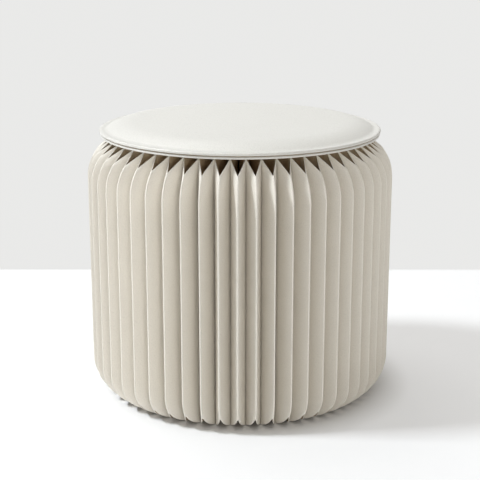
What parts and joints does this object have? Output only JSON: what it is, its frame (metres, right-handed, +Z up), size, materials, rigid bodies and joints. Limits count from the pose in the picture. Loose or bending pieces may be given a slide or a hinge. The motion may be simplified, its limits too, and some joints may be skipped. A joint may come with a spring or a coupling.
{
  "type": "folding stool",
  "caption": "Round accordion stool: a pleated leatherette ring on a paper honeycomb core that opens about its axis between two end boards, with a loose round pad on top.",
  "frame": {"origin": "on the floor, on the axis that the pleats turn about", "axes": "+Z up along that axis; the two end boards meet in the plane X = 0 on the +Y side"},
  "size_m": [0.36, 0.36, 0.3239],
  "materials": {
    "pleat_leatherette": "matte greige leatherette, fine grain",
    "kraft_paper": "brown kraft paper, matte",
    "greyboard": "pressed greyboard",
    "magnet": "nickel-plated block magnet",
    "spine_cloth": "woven bookbinding cloth",
    "pad_leatherette": "satin off-white leatherette, fine grain",
    "foam": "open-cell upholstery foam"
  },
  "bodies": {
    "end_a": {"end_board_a": "greyboard", "end_cover_a": "pleat_leatherette", "magnets_a": "magnet", "spine": "spine_cloth"},
    "section_01": {"pleat_skin_01": "pleat_leatherette", "paper_core_01": "kraft_paper"},
    "section_02": {"pleat_skin_02": "pleat_leatherette", "paper_core_02": "kraft_paper"},
    "section_03": {"pleat_skin_03": "pleat_leatherette", "paper_core_03": "kraft_paper"},
    "section_04": {"pleat_skin_04": "pleat_leatherette", "paper_core_04": "kraft_paper"},
    "section_05": {"pleat_skin_05": "pleat_leatherette", "paper_core_05": "kraft_paper"},
    "section_06": {"pleat_skin_06": "pleat_leatherette", "paper_core_06": "kraft_paper"},
    "section_07": {"pleat_skin_07": "pleat_leatherette", "paper_core_07": "kraft_paper"},
    "section_08": {"pleat_skin_08": "pleat_leatherette", "paper_core_08": "kraft_paper"},
    "section_09": {"pleat_skin_09": "pleat_leatherette", "paper_core_09": "kraft_paper"},
    "section_10": {"pleat_skin_10": "pleat_leatherette", "paper_core_10": "kraft_paper"},
    "section_11": {"pleat_skin_11": "pleat_leatherette", "paper_core_11": "kraft_paper"},
    "section_12": {"pleat_skin_12": "pleat_leatherette", "paper_core_12": "kraft_paper"},
    "section_13": {"pleat_skin_13": "pleat_leatherette", "paper_core_13": "kraft_paper"},
    "section_14": {"pleat_skin_14": "pleat_leatherette", "paper_core_14": "kraft_paper"},
    "section_15": {"pleat_skin_15": "pleat_leatherette", "paper_core_15": "kraft_paper"},
    "section_16": {"pleat_skin_16": "pleat_leatherette", "paper_core_16": "kraft_paper"},
    "section_17": {"pleat_skin_17": "pleat_leatherette", "paper_core_17": "kraft_paper"},
    "end_b": {"end_board_b": "greyboard", "end_cover_b": "pleat_leatherette", "magnets_b": "magnet"},
    "seat_pad": {"seat_bottom_cover": "pad_leatherette", "seat_board": "greyboard", "seat_foam": "foam", "seat_top_cover": "pad_leatherette"}
  },
  "joints": [
    {"name": "fold", "type": "hinge", "parent": "end_a", "child": "end_b", "pos_m": [0, 0, 0], "axis": [0, 0, 1], "range_deg": [0, 332], "deforming": ["pleat_skin_01", "paper_core_01", "pleat_skin_02", "paper_core_02", "pleat_skin_03", "paper_core_03", "pleat_skin_04", "paper_core_04", "pleat_skin_05", "paper_core_05", "pleat_skin_06", "paper_core_06", "pleat_skin_07", "paper_core_07", "pleat_skin_08", "paper_core_08", "pleat_skin_09", "paper_core_09", "pleat_skin_10", "paper_core_10", "pleat_skin_11", "paper_core_11", "pleat_skin_12", "paper_core_12", "pleat_skin_13", "paper_core_13", "pleat_skin_14", "paper_core_14", "pleat_skin_15", "paper_core_15", "pleat_skin_16", "paper_core_16", "pleat_skin_17", "paper_core_17"]},
    {"name": "section_01_turn", "type": "hinge", "parent": "end_a", "child": "section_01", "pos_m": [0, 0, 0], "axis": [0, 0, 1], "range_deg": [0, 9.96]},
    {"name": "section_02_turn", "type": "hinge", "parent": "end_a", "child": "section_02", "pos_m": [0, 0, 0], "axis": [0, 0, 1], "range_deg": [0, 31.05]},
    {"name": "section_03_turn", "type": "hinge", "parent": "end_a", "child": "section_03", "pos_m": [0, 0, 0], "axis": [0, 0, 1], "range_deg": [0, 51.39]},
    {"name": "section_04_turn", "type": "hinge", "parent": "end_a", "child": "section_04", "pos_m": [0, 0, 0], "axis": [0, 0, 1], "range_deg": [0, 70.87]},
    {"name": "section_05_turn", "type": "hinge", "parent": "end_a", "child": "section_05", "pos_m": [0, 0, 0], "axis": [0, 0, 1], "range_deg": [0, 89.52]},
    {"name": "section_06_turn", "type": "hinge", "parent": "end_a", "child": "section_06", "pos_m": [0, 0, 0], "axis": [0, 0, 1], "range_deg": [0, 107.47]},
    {"name": "section_07_turn", "type": "hinge", "parent": "end_a", "child": "section_07", "pos_m": [0, 0, 0], "axis": [0, 0, 1], "range_deg": [0, 124.94]},
    {"name": "section_08_turn", "type": "hinge", "parent": "end_a", "child": "section_08", "pos_m": [0, 0, 0], "axis": [0, 0, 1], "range_deg": [0, 142.22]},
    {"name": "section_09_turn", "type": "hinge", "parent": "end_a", "child": "section_09", "pos_m": [0, 0, 0], "axis": [0, 0, 1], "range_deg": [0, 159.64]},
    {"name": "section_10_turn", "type": "hinge", "parent": "end_a", "child": "section_10", "pos_m": [0, 0, 0], "axis": [0, 0, 1], "range_deg": [0, 177.49]},
    {"name": "section_11_turn", "type": "hinge", "parent": "end_a", "child": "section_11", "pos_m": [0, 0, 0], "axis": [0, 0, 1], "range_deg": [0, 196]},
    {"name": "section_12_turn", "type": "hinge", "parent": "end_a", "child": "section_12", "pos_m": [0, 0, 0], "axis": [0, 0, 1], "range_deg": [0, 215.34]},
    {"name": "section_13_turn", "type": "hinge", "parent": "end_a", "child": "section_13", "pos_m": [0, 0, 0], "axis": [0, 0, 1], "range_deg": [0, 235.54]},
    {"name": "section_14_turn", "type": "hinge", "parent": "end_a", "child": "section_14", "pos_m": [0, 0, 0], "axis": [0, 0, 1], "range_deg": [0, 256.52]},
    {"name": "section_15_turn", "type": "hinge", "parent": "end_a", "child": "section_15", "pos_m": [0, 0, 0], "axis": [0, 0, 1], "range_deg": [0, 278.1]},
    {"name": "section_16_turn", "type": "hinge", "parent": "end_a", "child": "section_16", "pos_m": [0, 0, 0], "axis": [0, 0, 1], "range_deg": [0, 300.01]},
    {"name": "section_17_turn", "type": "hinge", "parent": "end_a", "child": "section_17", "pos_m": [0, 0, 0], "axis": [0, 0, 1], "range_deg": [0, 321.95]},
    {"name": "seat_lift", "type": "slide", "parent": "end_a", "child": "seat_pad", "axis": [0, 0, 1], "range_m": [0, 0.15]}
  ],
  "couplings": [
    {"joint": "section_01_turn", "follows": "fold", "ratio": 0.029972},
    {"joint": "section_02_turn", "follows": "fold", "ratio": 0.093509},
    {"joint": "section_03_turn", "follows": "fold", "ratio": 0.15476},
    {"joint": "section_04_turn", "follows": "fold", "ratio": 0.21344},
    {"joint": "section_05_turn", "follows": "fold", "ratio": 0.26961},
    {"joint": "section_06_turn", "follows": "fold", "ratio": 0.32366},
    {"joint": "section_07_turn", "follows": "fold", "ratio": 0.37628},
    {"joint": "section_08_turn", "follows": "fold", "ratio": 0.42834},
    {"joint": "section_09_turn", "follows": "fold", "ratio": 0.48081},
    {"joint": "section_10_turn", "follows": "fold", "ratio": 0.53456},
    {"joint": "section_11_turn", "follows": "fold", "ratio": 0.59034},
    {"joint": "section_12_turn", "follows": "fold", "ratio": 0.64859},
    {"joint": "section_13_turn", "follows": "fold", "ratio": 0.70943},
    {"joint": "section_14_turn", "follows": "fold", "ratio": 0.77262},
    {"joint": "section_15_turn", "follows": "fold", "ratio": 0.83761},
    {"joint": "section_16_turn", "follows": "fold", "ratio": 0.90362},
    {"joint": "section_17_turn", "follows": "fold", "ratio": 0.9697}
  ]
}
